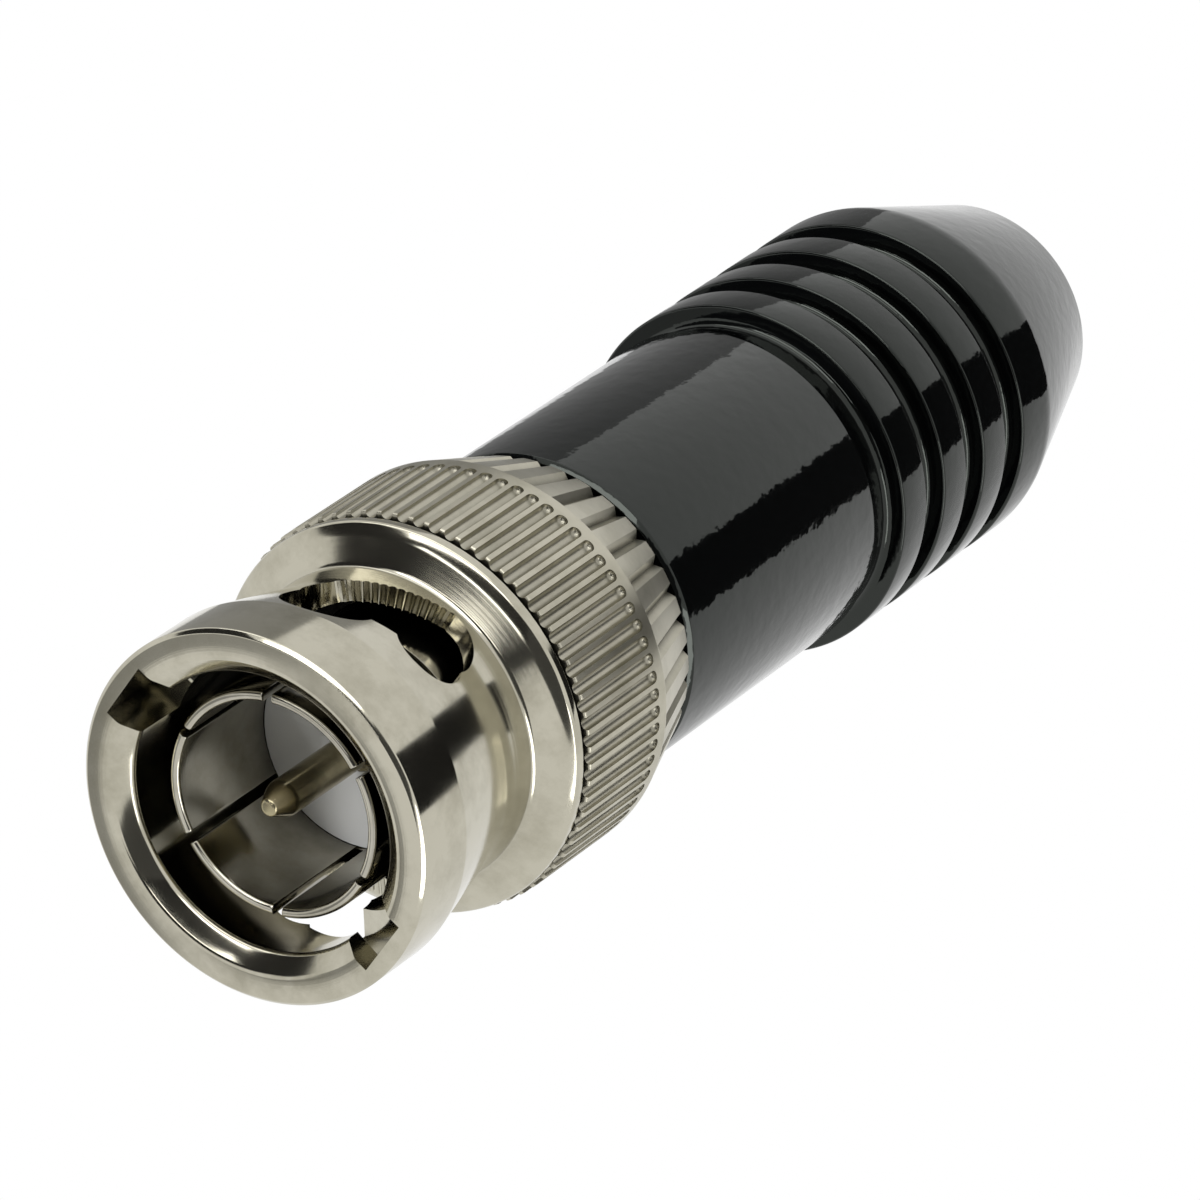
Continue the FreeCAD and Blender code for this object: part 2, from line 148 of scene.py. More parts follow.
def blockCutter(low, high):
    # low and high corners in millimetres
    size = [high[axis] - low[axis] for axis in range(3)]
    middle = [(high[axis] + low[axis]) / 2 * mm for axis in range(3)]
    deselectAll()
    bpy.ops.mesh.primitive_cube_add(size=mm, location=middle, scale=size)
    return settle(bpy.context.object, "cutter")


def radialCutter(azimuth, height, radius, inner, outer, sides):
    # a round bar that lies along a radius of the plug, as a milling cutter does
    middle = (inner + outer) / 2
    direction = Vector((math.cos(math.radians(azimuth)), math.sin(math.radians(azimuth)), 0))
    place = direction * middle * mm + Vector((0, 0, height * mm))
    deselectAll()
    bpy.ops.mesh.primitive_cylinder_add(vertices=sides, radius=radius * mm, depth=(outer - inner) * mm, location=place,
                                        rotation=direction.to_track_quat("Z", "Y").to_euler())
    return settle(bpy.context.object, "cutter")


def rampCutter(azimuth, height, width, inner, outer, turn, drop):
    # a flat profile in the plane of the axis, swept back and down round the axis by the Screw modifier
    deselectAll()
    bpy.ops.mesh.primitive_plane_add(size=mm, location=((inner + outer) / 2 * mm, 0, height * mm),
                                     rotation=(math.pi / 2, 0, 0))
    cutter = bpy.context.object
    cutter.scale = (outer - inner, width, 1)
    settle(cutter, "cutter")
    bpy.ops.object.mode_set(mode="EDIT")
    bpy.ops.mesh.select_all(action="SELECT")
    bpy.ops.mesh.delete(type="ONLY_FACE")
    bpy.ops.object.mode_set(mode="OBJECT")
    steps = int(turn / rampStep)
    applyModifier(cutter, "SCREW", axis="Z", angle=math.radians(-turn), screw_offset=-drop * mm, steps=steps,
                  render_steps=steps)
    pick(cutter)
    bpy.ops.object.mode_set(mode="EDIT")
    bpy.ops.mesh.select_all(action="SELECT")
    bpy.ops.mesh.fill_holes(sides=4)
    bpy.ops.object.mode_set(mode="OBJECT")
    closeUp(cutter)
    cutter.rotation_euler = (0, 0, math.radians(azimuth))
    return settle(cutter, "cutter")


# camera, matched to the photograph's own perspective

view = {
    "place": (47.74, 190.15, 262.84),  # millimetres
    "turn": (-25.335, 31.677, 34.039),  # degrees
    "lens": 270,
}
deselectAll()
bpy.ops.object.camera_add(location=[value * mm for value in view["place"]])
photoCamera = bpy.context.object
photoCamera.rotation_euler = [math.radians(angle) for angle in view["turn"]]
photoCamera.data.lens = view["lens"]
photoCamera.data.sensor_width = 36
photoCamera.data.clip_start = 0.01
bpy.context.scene.camera = photoCamera
print("camera placed")


# coupling nut: depths are from its mating face, all in millimetres

nutFace = nutBox[1][2] / mm
nutRear = nutBox[0][2] / mm
nut = {
    "steps": 288,
    "noseRadius": 6.61, "noseDepth": 2.52, "noseChamfer": 0.14,
    "neckRadius": 5.68, "taperDepth": 6.6, "neckDepth": 8.05, "ridge": 0.1,
    "rimFaceRadius": 6.66, "rimFaceDepth": 8.47,
    "rimRadius": 7.0, "rimCornerDepth": 8.72, "rimDepth": 9.07,
    "grooveRadius": 6.7, "bandDepth": 9.27,
    "knurlRadius": 7.14, "jointDepth": 14.02, "rearRadius": 6.12,
    "boreRadius": 4.94, "leadInRadius": 5.6, "leadInDepth": 0.5,
    "stopDepth": 9.95, "counterRadius": 5.3,
    "fluteCount": 72, "fluteRadius": 0.225, "fluteSink": 0.02, "fluteDepth": 13.62,
    "toothCount": 36, "toothSink": 0.27, "toothSize": 0.5, "toothLand": 0.04,
    "fluteSides": 16, "fluteEnd": 0.9, "fluteEndSegments": 4, "fluteFrontGap": 0.1, "toothOverrun": 0.6,
    # how far the corners are rounded
    "edge": 0.04, "rimEdge": 0.1, "taperEdge": 0.3, "faceEdge": 0.03, "leadInEdge": 0.12, "boreEdge": 0.15,
    "smoothAngle": 26,
}


def makeNut():
    face = nutFace
    edge = nut["edge"]
    profile = [
        (nut["counterRadius"], nutRear), (nut["rearRadius"], nutRear, edge),
        (nut["knurlRadius"], face - nut["jointDepth"], edge),
        (nut["knurlRadius"], face - nut["bandDepth"], nut["rimEdge"]),
        (nut["grooveRadius"], face - nut["bandDepth"]),
        (nut["grooveRadius"], face - nut["rimDepth"]),
        (nut["rimRadius"], face - nut["rimDepth"], edge),
        (nut["rimRadius"], face - nut["rimCornerDepth"], nut["rimEdge"]),
        (nut["rimFaceRadius"], face - nut["rimFaceDepth"], nut["rimEdge"]),
        (nut["neckRadius"] + nut["ridge"], face - nut["neckDepth"], edge),
        (nut["neckRadius"], face - nut["neckDepth"] + nut["ridge"], edge),
        (nut["neckRadius"], face - nut["taperDepth"], nut["taperEdge"]),
        (nut["noseRadius"], face - nut["noseDepth"], edge),
        (nut["noseRadius"], face - nut["noseChamfer"], nut["faceEdge"]),
        (nut["noseRadius"] - nut["noseChamfer"], face, nut["faceEdge"]),
        (nut["leadInRadius"], face, nut["leadInEdge"]),
        (nut["boreRadius"], face - nut["leadInDepth"], nut["boreEdge"]),
        (nut["boreRadius"], face - nut["stopDepth"]),
        (nut["counterRadius"], face - nut["stopDepth"]),
    ]
    return turned("nut", profile, nut["steps"])


slots = {
    "notchWidth": 2.3, "trackRadius": 6.0,
    "trackDepth": 1.6, "trackWidth": 2.2, "trackDrop": 2.11,  # the fall up to the ramp's start
    "windowTurn": 58.5, "windowDepth": 4.3, "windowRadius": 1.65,
    "cornerTurn": 54.0, "cornerDepth": 5.6, "cornerRadius": 1.27,
    "rampStart": 52.0, "rampDepth": 5.3, "rampWidth": 3.15, "rampDrop": 0.86, "rampTurn": 88.0,
    "seatTurn": 92.5, "seatDepth": 5.2, "seatRadius": 1.3,
    # marks of the milling cutter on the rear wall
    "ribCount": 14, "ribStart": 46.7, "ribPitch": 3.01, "ribRadius": 0.14, "ribBite": 0.09,
    "ribSides": 8, "roundSides": 64,
}


def cutSlots(piece):
    inside = nut["boreRadius"] - 1
    outside = nut["noseRadius"] + 1
    half = slots["notchWidth"] / 2
    rampTurn = slots["rampTurn"] - slots["rampStart"]
    notchDepth = slots["trackDepth"] + slots["trackWidth"] / 2
    for start in (0, 180):
        # the ribs of the slot's rear wall come first, while the rods meet plain turned faces
        ribs = []
        for number in range(slots["ribCount"]):
            turn = slots["ribStart"] + number * slots["ribPitch"]
            along = (turn - slots["rampStart"]) / rampTurn
            depth = slots["rampDepth"] + slots["rampDrop"] * along + slots["rampWidth"] / 2
            if turn < slots["cornerTurn"]:
                # here the wall follows the round corner
                aside = math.radians(slots["cornerTurn"] - turn) * nut["neckRadius"]
                depth = slots["cornerDepth"] + math.sqrt(max(slots["cornerRadius"] ** 2 - aside ** 2, 0))
            depth += slots["ribBite"] - slots["ribRadius"]
            ribs.append(radialCutter(start - turn, nutFace - depth, slots["ribRadius"], inside, outside,
                                     slots["ribSides"]))
        pick(ribs[0])
        for rib in ribs:
            rib.select_set(True)
        bpy.ops.object.join()
        cut(piece, ribs[0])
    for start in (0, 180):
        notch = blockCutter((inside, -half, nutFace - notchDepth), (slots["trackRadius"], half, nutFace + 1))
        notch.rotation_euler = (0, 0, math.radians(start))
        cut(piece, settle(notch, "cutter"))
        cut(piece, rampCutter(start, nutFace - slots["trackDepth"], slots["trackWidth"], inside,
                              slots["trackRadius"], slots["rampStart"], slots["trackDrop"]))
        cut(piece, rampCutter(start - slots["rampStart"], nutFace - slots["rampDepth"], slots["rampWidth"],
                              inside, outside, rampTurn, slots["rampDrop"]))
        rounds = [
            (slots["windowTurn"], slots["windowDepth"], slots["windowRadius"]),
            (slots["cornerTurn"], slots["cornerDepth"], slots["cornerRadius"]),
            (slots["rampTurn"], slots["rampDepth"] + slots["rampDrop"], slots["rampWidth"] / 2),
            (slots["seatTurn"], slots["seatDepth"], slots["seatRadius"]),
        ]
        for turn, depth, radius in rounds:
            cut(piece, radialCutter(start - turn, nutFace - depth, radius, inside, outside, slots["roundSides"]))


def cutKnurl(piece):
    # long flutes with round rear ends, open at the front
    radius = nut["knurlRadius"] - nut["fluteSink"]
    low = nutFace - nut["fluteDepth"]
    high = nutFace - nut["rimDepth"] - nut["fluteFrontGap"]
    deselectAll()
    bpy.ops.mesh.primitive_cylinder_add(vertices=nut["fluteSides"], radius=nut["fluteRadius"] * mm,
                                        depth=(high - low) * mm, location=(radius * mm, 0, (low + high) / 2 * mm))
    flute = settle(bpy.context.object, "cutter")
    bpy.ops.object.mode_set(mode="EDIT")
    bpy.ops.mesh.select_all(action="DESELECT")
    mesh = bmesh.from_edit_mesh(flute.data)
    for polygon in mesh.faces:
        # the rear end alone faces straight down
        polygon.select = polygon.normal.z < -0.9
    mesh.select_flush_mode()
    bmesh.update_edit_mesh(flute.data)
    bpy.ops.mesh.bevel(offset=nut["fluteRadius"] * nut["fluteEnd"] * mm, segments=nut["fluteEndSegments"],
                       affect="EDGES")
    cut(piece, ringCopies(flute, nut["fluteCount"]))
    # short teeth on the rear cone, with sloping sides between flat crests
    rise = nutFace - nut["jointDepth"] - nutRear
    fall = nut["knurlRadius"] - nut["rearRadius"]
    slope = math.atan2(fall, rise)
    length = (rise - nut["toothLand"]) / math.cos(slope) + nut["toothOverrun"]
    along = Vector((math.sin(slope), 0, math.cos(slope)))
    outwards = Vector((math.cos(slope), 0, -math.sin(slope)))
    top = Vector((nut["knurlRadius"], 0, nutFace - nut["jointDepth"])) - along * (nut["toothLand"] / math.cos(slope))
    middle = top - along * length / 2 + outwards * (nut["toothSize"] - nut["toothSink"])
    deselectAll()
    bpy.ops.mesh.primitive_cylinder_add(vertices=4, radius=nut["toothSize"] * mm, depth=length * mm,
                                        location=middle * mm, rotation=(0, slope, 0))
    cut(piece, ringCopies(settle(bpy.context.object, "cutter"), nut["toothCount"]))


nutPiece = makeNut()
print("nut turned", len(nutPiece.data.polygons))
cutSlots(nutPiece)
print("slots milled", len(nutPiece.data.polygons))
cutKnurl(nutPiece)
closeUp(nutPiece)
smoothEdges(nutPiece, nut["smoothAngle"])
print("nut knurled", len(nutPiece.data.polygons))


# plug body with the slotted outer contact sleeve

body = {
    "steps": 192,
    "threadRadius": 4.5, "boreRadius": 4.0, "spigotRadius": 4.55, "spigotHeight": 30.2, "threadRelief": 0.15,
    "flangeRadius": 5.2, "flangeRear": 36.45, "flangeFront": 37.65, "ledge": 37.15,
    "sleeveRadius": 4.02, "sleeveBore": 3.66, "reliefRadius": 3.84, "reliefLow": 40.81, "reliefTop": 41.41,
    "slotWidth": 0.36, "slotLength": 5.2, "slotTurn": 6,
    "edge": 0.05, "mouthEdge": 0.16, "deburr": 0.03, "deburrAngle": 60, "smoothAngle": 30,
}


def makeBody():
    low, top = bodyBox[0][2] / mm, bodyBox[1][2] / mm
    edge = body["edge"]
    profile = [
        (body["boreRadius"], low), (body["threadRadius"], low, edge),
        (body["threadRadius"], body["spigotHeight"] - body["threadRelief"]),
        (body["spigotRadius"], body["spigotHeight"]), (body["spigotRadius"], body["flangeRear"]),
        (body["flangeRadius"], body["flangeRear"], edge), (body["flangeRadius"], body["flangeFront"], edge),
        (body["sleeveRadius"], body["flangeFront"]), (body["sleeveRadius"], body["reliefLow"]),
        (body["reliefRadius"], body["reliefLow"]), (body["reliefRadius"], body["reliefTop"]),
        (body["sleeveRadius"], body["reliefTop"]), (body["sleeveRadius"], top, body["mouthEdge"]),
        (body["sleeveBore"], top, body["mouthEdge"]), (body["sleeveBore"], body["ledge"]),
        (body["boreRadius"], body["ledge"]),
    ]
    piece = turned("body", profile, body["steps"])
    half = body["slotWidth"] / 2
    reach = body["sleeveRadius"] + 1
    # three cuts right across leave six fingers
    for turn in (0, 60, 120):
        slot = blockCutter((-reach, -half, top - body["slotLength"]), (reach, half, top + 1))
        slot.rotation_euler = (0, 0, math.radians(body["slotTurn"] + turn))
        cut(piece, settle(slot, "cutter"))
    closeUp(piece)
    applyModifier(piece, "BEVEL", width=body["deburr"] * mm, segments=2, limit_method="ANGLE",
                  angle_limit=math.radians(body["deburrAngle"]))
    smoothEdges(piece, body["smoothAngle"])
    return piece


bodyPiece = makeBody()
print("body turned", len(bodyPiece.data.polygons))


# centre contact with its pointed pin and solder cup

contact = {
    "steps": 64,
    "pinRadius": 0.65, "tipRadius": 0.28, "tipLength": 0.85, "rootRadius": 0.85, "rootTop": 41.45,
    "collarRadius": 1.2, "collarTop": 36.65, "collarLow": 34.65,
    "shankRadius": 1.0, "cupRadius": 0.62, "cupDepth": 3.0, "windowHeight": 2.0,
    "edge": 0.05, "shoulderEdge": 0.12, "tipEdge": 0.11, "smoothAngle": 30,
}


def makeContact():
    low, top = pinBox[0][2] / mm, pinBox[1][2] / mm
    edge = contact["edge"]
    profile = [
        (contact["cupRadius"], low, edge), (contact["shankRadius"], low, edge),
        (contact["shankRadius"], contact["collarLow"]), (contact["collarRadius"], contact["collarLow"], edge),
        (contact["collarRadius"], contact["collarTop"], edge), (contact["rootRadius"], contact["collarTop"]),
        (contact["rootRadius"], contact["rootTop"]), (contact["pinRadius"], contact["rootTop"]),
        (contact["pinRadius"], top - contact["tipLength"], contact["shoulderEdge"]),
        (contact["tipRadius"], top, contact["tipEdge"]), (0, top),
        (0, low + contact["cupDepth"]), (contact["cupRadius"], low + contact["cupDepth"]),
    ]
    piece = turned("contact", profile, contact["steps"])
    # one side of the solder cup is open
    cut(piece, blockCutter((0, -2, low - 1), (2, 2, low + contact["windowHeight"])))
    closeUp(piece)
    smoothEdges(piece, contact["smoothAngle"])
    return piece


contactPiece = makeContact()
print("contact turned", len(contactPiece.data.polygons))


# barrel, turned with four grooves and a conical cable end

barrel = {
    "steps": 256,
    "plainRadius": 6.05, "landRadius": 6.5, "endRadius": 4.36, "endEdge": 0.2,
    "coneLength": 6.4, "firstGroove": 8.28, "pitch": 2.8, "grooveWidth": 1.24, "grooveRadius": 5.75,
    "grooveCount": 4, "floorFillet": 0.3, "lastFillet": 0.14, "lip": 0.1,
    "holeRadius": 3.3, "holeEdge": 0.3, "linerRadius": 4.25, "linerSeat": 6.9,
    "threadRadius": 4.55, "threadLow": 25.85, "frontEdge": 0.16,
    "coneEdge": 0.25, "frontCorner": 0.02, "smoothAngle": 30,
}


def makeBarrel():
    top = barrelBox[1][2] / mm
    profile = [
        (barrel["holeRadius"] + barrel["holeEdge"], 0), (barrel["endRadius"], 0, barrel["endEdge"]),
        (barrel["landRadius"], barrel["coneLength"], barrel["coneEdge"]),
    ]
    for number in range(barrel["grooveCount"]):
        low = barrel["firstGroove"] + number * barrel["pitch"]
        high = low + barrel["grooveWidth"]
        last = number == barrel["grooveCount"] - 1
        above = barrel["plainRadius"] if last else barrel["landRadius"]
        fillet = barrel["lastFillet"] if last else barrel["floorFillet"]
        profile += [
            (barrel["landRadius"], low, barrel["lip"]), (barrel["grooveRadius"], low, barrel["floorFillet"]),
            (barrel["grooveRadius"], high, fillet), (above, high, barrel["lip"]),
        ]
    profile += [
        (barrel["plainRadius"], top - barrel["frontEdge"], barrel["frontCorner"]),
        (barrel["plainRadius"] - barrel["frontEdge"], top, barrel["frontCorner"]),
        (barrel["threadRadius"], top), (barrel["threadRadius"], barrel["threadLow"]),
        (barrel["linerRadius"], barrel["threadLow"]), (barrel["linerRadius"], barrel["linerSeat"]),
        (barrel["holeRadius"], barrel["linerSeat"]), (barrel["holeRadius"], barrel["holeEdge"]),
    ]
    piece = turned("shell", profile, barrel["steps"])
    smoothEdges(piece, barrel["smoothAngle"])
    return piece


barrelPiece = makeBarrel()
print("barrel turned", len(barrelPiece.data.polygons))

for piece, node, rideBody in (
    (nutPiece, "coupling_nut", "nut"),
    (bodyPiece, "plug_body", "plug_core"),
    (contactPiece, "centre_contact", "plug_core"),
    (barrelPiece, "barrel", "barrel"),
):
    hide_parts(node)
    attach(piece, rideBody)


# materials

def toLinear(hexColour):
    channels = [int(hexColour[place:place + 2], 16) / 255 for place in (1, 3, 5)]
    return [c / 12.92 if c <= 0.04045 else ((c + 0.055) / 1.055) ** 2.4 for c in channels] + [1.0]


def addNode(tree, kind, links=None, **settings):
    # links holds a value or another node's output for each input socket
    node = tree.nodes.new(kind)
    for name, value in settings.items():
        setattr(node, name, value)
    for socket, value in (links or {}).items():
        if isinstance(value, bpy.types.NodeSocket):
            tree.links.new(value, node.inputs[socket])
        else:
            node.inputs[socket].default_value = value
    return node


def newMaterial(name, colour, roughness, metallic=0.0):
    material = bpy.data.materials.new(name)
    material.use_nodes = True
    shader = material.node_tree.nodes["Principled BSDF"]
    shader.inputs["Base Color"].default_value = toLinear(colour)
    shader.inputs["Roughness"].default_value = roughness
    shader.inputs["Metallic"].default_value = metallic
    return material, material.node_tree, shader


def turnedLines(tree, lineWidth, depth):
    # fine rings left by the lathe: they follow the height on a side and the radius on a face
    place = addNode(tree, "ShaderNodeTexCoord").outputs["Object"]
    parts = addNode(tree, "ShaderNodeSeparateXYZ", {0: place})
    flat = addNode(tree, "ShaderNodeCombineXYZ", {0: parts.outputs[0], 1: parts.outputs[1], 2: 0.0})
    radius = addNode(tree, "ShaderNodeVectorMath", {0: flat.outputs[0]}, operation="LENGTH").outputs["Value"]
    rings = addNode(tree, "ShaderNodeCombineXYZ", {0: radius, 1: 0.0, 2: parts.outputs[2]}).outputs[0]
    lines = addNode(tree, "ShaderNodeTexNoise", {"Vector": rings, "Scale": 1 / (lineWidth * mm), "Detail": 3.0,
                                                 "Roughness": 0.6})
    bump = addNode(tree, "ShaderNodeBump", {"Height": lines.outputs["Fac"], "Strength": 0.3,
                                            "Distance": depth * mm})
    return place, bump


plating = {
    "lineWidth": 0.12, "lineDepth": 0.004, "patchSize": 2.2,  # millimetres
    "patchFrom": 0.42, "patchTo": 0.7,  # noise levels between clear and dull plate
    "paintedShadeFrom": 0.25, "paintedShadeTo": 0.9, "paintedShadeDarkest": 0.12,  # painted shade in hollows: how open a place is, and the darkest painted shade
    "glossFrom": 0.35, "glossTo": 0.75, "glossLow": 0.8, "glossHigh": 1.5,  # noise levels, shares of the roughness
}


def makeNickel(name, colour, patchColour, roughness, reach=0.35, knurlRoughness=None):
    # plated or bare turned metal: blurred slightly by lathe lines, dull in patches, with painted shade darkening its
    # crevices and hollows
    material, tree, shader = newMaterial(name, colour, roughness, metallic=1.0)
    place, bump = turnedLines(tree, plating["lineWidth"], plating["lineDepth"])
    patches = addNode(tree, "ShaderNodeTexNoise", {"Vector": place, "Scale": 1 / (plating["patchSize"] * mm),
                                                   "Detail": 6.0, "Roughness": 0.65})
    spread = addNode(tree, "ShaderNodeMapRange", {0: patches.outputs["Fac"], 1: plating["patchFrom"],
                                                  2: plating["patchTo"], 3: 0.0, 4: 1.0})
    tint = addNode(tree, "ShaderNodeMix", {0: spread.outputs[0], 6: toLinear(colour), 7: toLinear(patchColour)},
                   data_type="RGBA")
    # painted shade: the colour is darkened where the place is closed in within reach millimetres, standing in for the
    # shade in flutes, grooves and bores
    paintedShadeOcclusion = addNode(tree, "ShaderNodeAmbientOcclusion", {"Distance": reach * mm}, samples=8)
    paintedShadeLevel = addNode(tree, "ShaderNodeMapRange", {0: paintedShadeOcclusion.outputs["AO"], 1: plating["paintedShadeFrom"],
                                                 2: plating["paintedShadeTo"], 3: plating["paintedShadeDarkest"], 4: 1.0})
    finish = addNode(tree, "ShaderNodeVectorMath", {0: tint.outputs[2], "Scale": paintedShadeLevel.outputs[0]},
                     operation="SCALE")
    tree.links.new(finish.outputs[0], shader.inputs["Base Color"])
    gloss = addNode(tree, "ShaderNodeMapRange", {0: patches.outputs["Fac"], 1: plating["glossFrom"],
                                                 2: plating["glossTo"], 3: roughness * plating["glossLow"],
                                                 4: roughness * plating["glossHigh"]})
    roughnessOut = gloss.outputs[0]
    if knurlRoughness:
        # the rolled knurl is duller than the turned nose
        height = addNode(tree, "ShaderNodeSeparateXYZ", {0: place}).outputs[2]
        knurl = addNode(tree, "ShaderNodeMath", {0: height, 1: (nutFace - nut["bandDepth"] + 0.1) * mm},
                        operation="LESS_THAN")
        roughnessOut = addNode(tree, "ShaderNodeMix", {0: knurl.outputs[0], 2: roughnessOut, 3: knurlRoughness},
                               data_type="FLOAT").outputs[0]
    tree.links.new(roughnessOut, shader.inputs["Roughness"])
    tree.links.new(bump.outputs[0], shader.inputs["Normal"])
    return material


# the fourth number is how far the painted shade in hollows reaches, in millimetres
nickelNut = makeNickel("bright nickel plate on turned brass", "#BDB9A9", "#A8A493", 0.11, 0.35, 0.34)
nickelBody = makeNickel("nickel plate on the slotted sleeve", "#BAB6A9", "#A09C8E", 0.12, 1.6)
clampNickel = makeNickel("nickel plate on stamped brass", "#B0ABA1", "#98938A", 0.24)
springSteel = makeNickel("ground spring steel", "#A7A9AA", "#8F9192", 0.28)
bushBrass = makeNickel("turned brass", "#C2A15A", "#A98845", 0.25)
pinGold = makeNickel("thin gold plate on turned brass", "#ABA283", "#8F866D", 0.2)


enamelCoat = {"colour": "#0D0E0F", "shine": "#F6FFF5", "roughness": 0.07, "ior": 1.47,
              "peelSize": 0.6, "peelDepth": 0.03}  # the peel in millimetres


def makeEnamel():
    # gloss black enamel on turned metal: sharp reflections, broken up by a slight orange peel
    material, tree, shader = newMaterial("gloss black enamel on turned metal", enamelCoat["colour"],
                                         enamelCoat["roughness"])
    shader.inputs["IOR"].default_value = enamelCoat["ior"]
    shader.inputs["Specular Tint"].default_value = toLinear(enamelCoat["shine"])
    place = addNode(tree, "ShaderNodeTexCoord").outputs["Object"]
    peel = addNode(tree, "ShaderNodeTexNoise", {"Vector": place, "Scale": 1 / (enamelCoat["peelSize"] * mm),
                                                "Detail": 2.0})
    bump = addNode(tree, "ShaderNodeBump", {"Height": peel.outputs["Fac"], "Strength": 0.5,
                                            "Distance": enamelCoat["peelDepth"] * mm})
    tree.links.new(bump.outputs[0], shader.inputs["Normal"])
    return material


enamel = makeEnamel()


def makePlain(name, colour, roughness, grain, depth):
    # moulded or cut plastic and rubber: an even colour with a fine grain that softens its shine
    material, tree, shader = newMaterial(name, colour, roughness)
    place = addNode(tree, "ShaderNodeTexCoord").outputs["Object"]
    speckle = addNode(tree, "ShaderNodeTexNoise", {"Vector": place, "Scale": 1 / (grain * mm), "Detail": 4.0})
    bump = addNode(tree, "ShaderNodeBump", {"Height": speckle.outputs["Fac"], "Strength": 0.4, "Distance": depth * mm})
    tree.links.new(bump.outputs[0], shader.inputs["Normal"])
    return material


fluoropolymer = makePlain("turned white fluoropolymer", "#D5D6D6", 0.42, 0.3, 0.01)
siliconeRubber = makePlain("moulded silicone rubber", "#1B1B1C", 0.6, 0.15, 0.008)
linerPlastic = makePlain("extruded black polythene tube", "#1E1F20", 0.35, 0.4, 0.006)

finishes = {
    "liner_tube": linerPlastic, "face_gasket": siliconeRubber, "front_insulator": fluoropolymer,
    "rear_insulator": fluoropolymer, "insulator_bush": bushBrass, "cable_clamp": clampNickel,
    "front_thrust_washer": springSteel, "wave_washer": springSteel, "rear_thrust_washer": springSteel,
    "retaining_ring": springSteel,
}
for name, finish in finishes.items():
    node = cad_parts[name]
    node.data.materials.clear()
    node.data.materials.append(finish)
for piece, finish, slot in (
    (nutPiece, nickelNut, "nickel_nut"),
    (bodyPiece, nickelBody, "nickel_body"),
    (contactPiece, pinGold, "contact_metal"),
    (barrelPiece, enamel, "black_metal"),
):
    piece.data.materials.clear()
    piece.data.materials.append(finish)
print("materials given")


# floor, cards and light

floorWidth = 4  # metres
roomGlow = 0.2  # how strongly the white room lights what isn't shiny


def seenInShine(tree):
    # 1 where the camera sees the thing itself or in a reflection or through something, otherwise 0
    path = addNode(tree, "ShaderNodeLightPath")
    seen = addNode(tree, "ShaderNodeMath", {0: path.outputs["Is Camera Ray"], 1: path.outputs["Is Glossy Ray"]},
                   operation="MAXIMUM")
    return addNode(tree, "ShaderNodeMath", {0: seen.outputs[0], 1: path.outputs["Is Transmission Ray"]},
                   operation="MAXIMUM").outputs[0]


deselectAll()
bpy.ops.mesh.primitive_plane_add(size=floorWidth, location=(0, 0, 0))
floor = bpy.context.object
floor.name = "floor"
paper, tree, shader = newMaterial("white paper sweep", "#F4F4F2", 0.9)
glow = addNode(tree, "ShaderNodeEmission", {"Color": (1, 1, 1, 1), "Strength": 1.0})
mix = addNode(tree, "ShaderNodeMixShader", {0: seenInShine(tree), 1: shader.outputs[0], 2: glow.outputs[0]})
tree.links.new(mix.outputs[0], tree.nodes["Material Output"].inputs["Surface"])
floor.data.materials.append(paper)

world = bpy.data.worlds.new("studio")
bpy.context.scene.world = world
world.use_nodes = True
tree = world.node_tree
background = tree.nodes["Background"]
background.inputs["Color"].default_value = (1, 1, 1, 1)
level = addNode(tree, "ShaderNodeMapRange", {0: seenInShine(tree), 1: 0.0, 2: 1.0, 3: roomGlow, 4: 1.0})
tree.links.new(level.outputs[0], background.inputs["Strength"])


def finishCard(card, name, brightness):
    # a card shows only in the object's shine
    board, tree, shader = newMaterial(name + " board", "#000000", 1.0)
    shader.inputs["Emission Color"].default_value = (brightness, brightness, brightness, 1)
    shader.inputs["Emission Strength"].default_value = 1.0
    shader.inputs["Specular IOR Level"].default_value = 0.0
    card.data.materials.append(board)
    card.visible_camera = False
    card.visible_diffuse = False
    card.visible_transmission = False
    card.visible_shadow = False


# sectors on the floor round the plug's foot: azimuths, radii in millimetres, brightness
floorCards = {
    "sideCard": ((62, 96), (7.6, 70), 0.02),
    "lowCard": ((218, 286), (7.6, 70), 0.35),
}
cardHeight = 0.05  # above the floor
cardSteps = 16


def makeFloorCard(name, azimuths, radii, brightness):
    deselectAll()
    bpy.ops.mesh.primitive_plane_add(size=mm, location=(radii[0] * mm, 0, cardHeight * mm))
    card = settle(bpy.context.object, name)
    bpy.ops.object.mode_set(mode="EDIT")
    bpy.ops.mesh.select_all(action="SELECT")
    bpy.ops.mesh.merge(type="CENTER")
    bpy.ops.mesh.extrude_vertices_move(TRANSFORM_OT_translate={"value": ((radii[1] - radii[0]) * mm, 0, 0)})
    bpy.ops.mesh.select_all(action="SELECT")
    bpy.ops.mesh.spin(steps=cardSteps, angle=math.radians(azimuths[1] - azimuths[0]), center=(0, 0, 0),
                      axis=(0, 0, 1))
    bpy.ops.object.mode_set(mode="OBJECT")
    card.rotation_euler = (0, 0, math.radians(azimuths[0]))
    settle(card, name)
    finishCard(card, name, brightness)


# boards hung above the plug: low and high corners over its face in millimetres, brightness
topCards = {
    "topCard": ((-330, -30), (60, 330), 0.03),
    "cameraCard": ((60, 60), (330, 400), 0.08),
    "greyCard": ((-330, -420), (-70, -170), 0.4),
}
stripLight = ((-230, 86), (30, 126), 4.0)  # the same for the one bright board
stripDrop = 5.0  # hangs this far under the boards
hangHeight = 300.0  # above the mating face

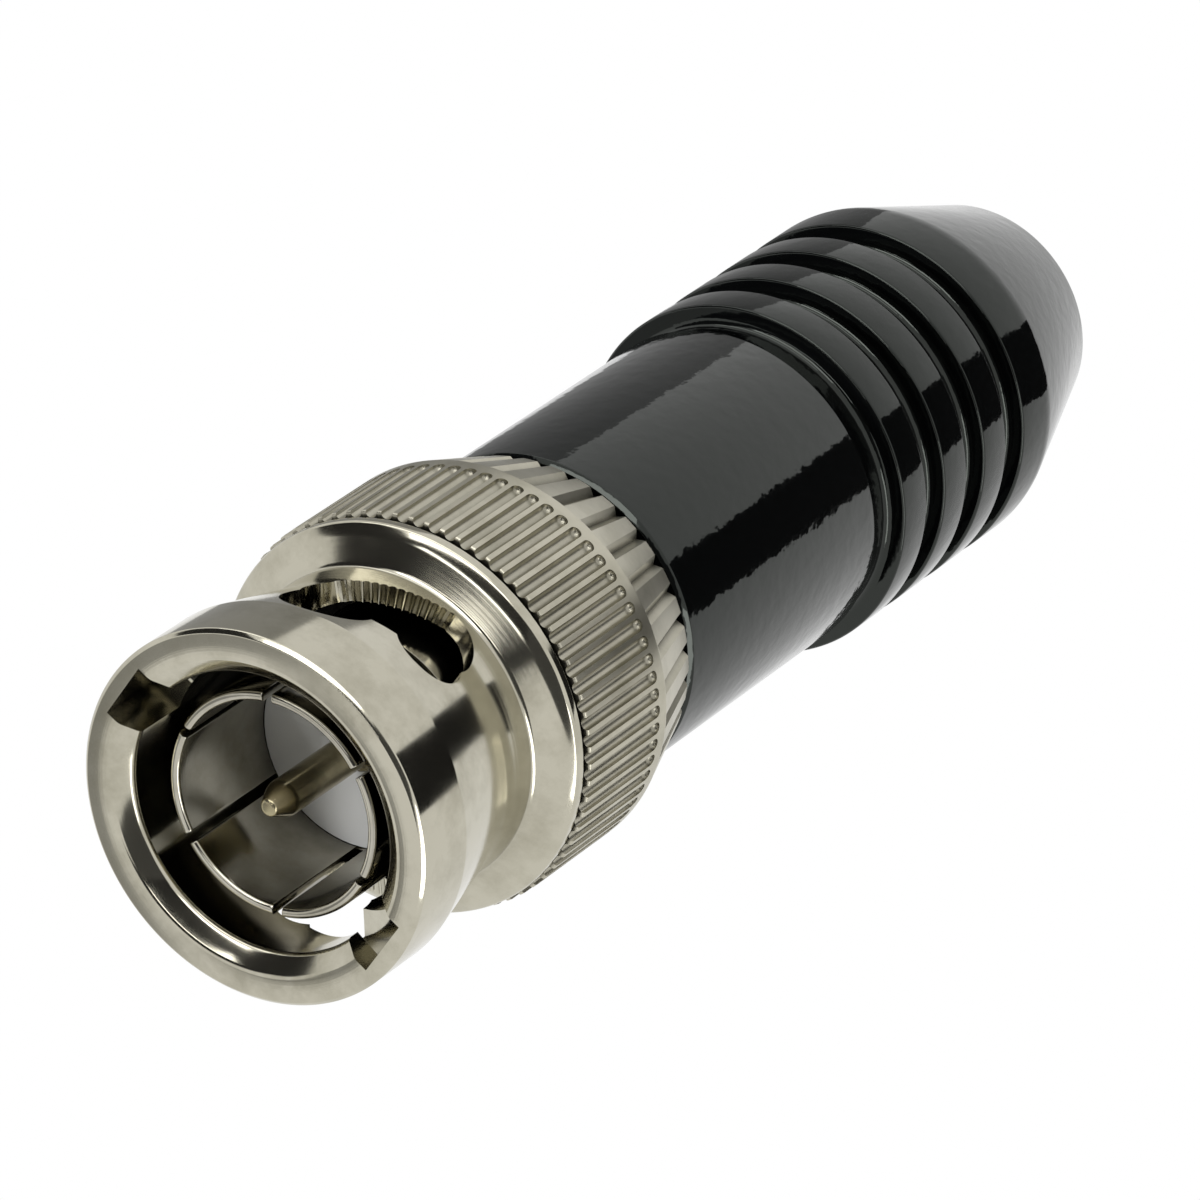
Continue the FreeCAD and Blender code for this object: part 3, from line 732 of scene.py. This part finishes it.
# boards stood round the plug, facing its nose: azimuth, elevation, width, height in degrees, brightness
sideCards = {
    "leftCard": (175, 28, 32, 42, 0.03),
    "frontLight": (11, 28, 40, 14, 5.0),
    "upperLight": (122, 35, 50, 16, 5.0),
    "lowLight": (136, 6, 66, 13, 3.0),
}
standOff = 300.0  # from the mating face


def makeTopCard(name, low, high, brightness, drop=0.0):
    deselectAll()
    middle = ((low[0] + high[0]) / 2 * mm, (low[1] + high[1]) / 2 * mm, (nutFace + hangHeight - drop) * mm)
    bpy.ops.mesh.primitive_plane_add(size=mm, location=middle)
    card = bpy.context.object
    card.scale = (high[0] - low[0], high[1] - low[1], 1)
    settle(card, name)
    finishCard(card, name, brightness)


def makeSideCard(name, azimuth, elevation, width, height, brightness):
    around, above = math.radians(azimuth), math.radians(elevation)
    direction = Vector((math.cos(above) * math.cos(around), math.cos(above) * math.sin(around), math.sin(above)))
    deselectAll()
    bpy.ops.mesh.primitive_plane_add(size=mm, location=direction * standOff * mm + Vector((0, 0, nutFace * mm)),
                                     rotation=direction.to_track_quat("Z", "Y").to_euler())
    card = bpy.context.object
    card.scale = (2 * standOff * math.tan(math.radians(width / 2)), 2 * standOff * math.tan(math.radians(height / 2)),
                  1)
    settle(card, name)
    finishCard(card, name, brightness)


for name, card in floorCards.items():
    makeFloorCard(name, *card)
for name, card in topCards.items():
    makeTopCard(name, *card)
makeTopCard("stripLight", *stripLight, stripDrop)
for name, card in sideCards.items():
    makeSideCard(name, *card)

# soft lamps for what isn't metal; the metal shows the cards instead: place and size in millimetres, power in watts
lamps = {
    "key": ((-182, 19, 310), 90, 0.5),
    "fill": ((260, -60, 240), 160, 0.15),
}
for name, (place, size, power) in lamps.items():
    deselectAll()
    bpy.ops.object.light_add(type="AREA", location=[value * mm for value in place])
    lamp = bpy.context.object
    lamp.name = name
    lamp.data.size = size * mm
    lamp.data.energy = power
    lamp.visible_glossy = False
    direction = Vector((0, 0, nutFace * mm)) - lamp.location
    lamp.rotation_euler = direction.to_track_quat("-Z", "Y").to_euler()

bpy.context.scene.view_settings.view_transform = "Standard"
print("stage set")
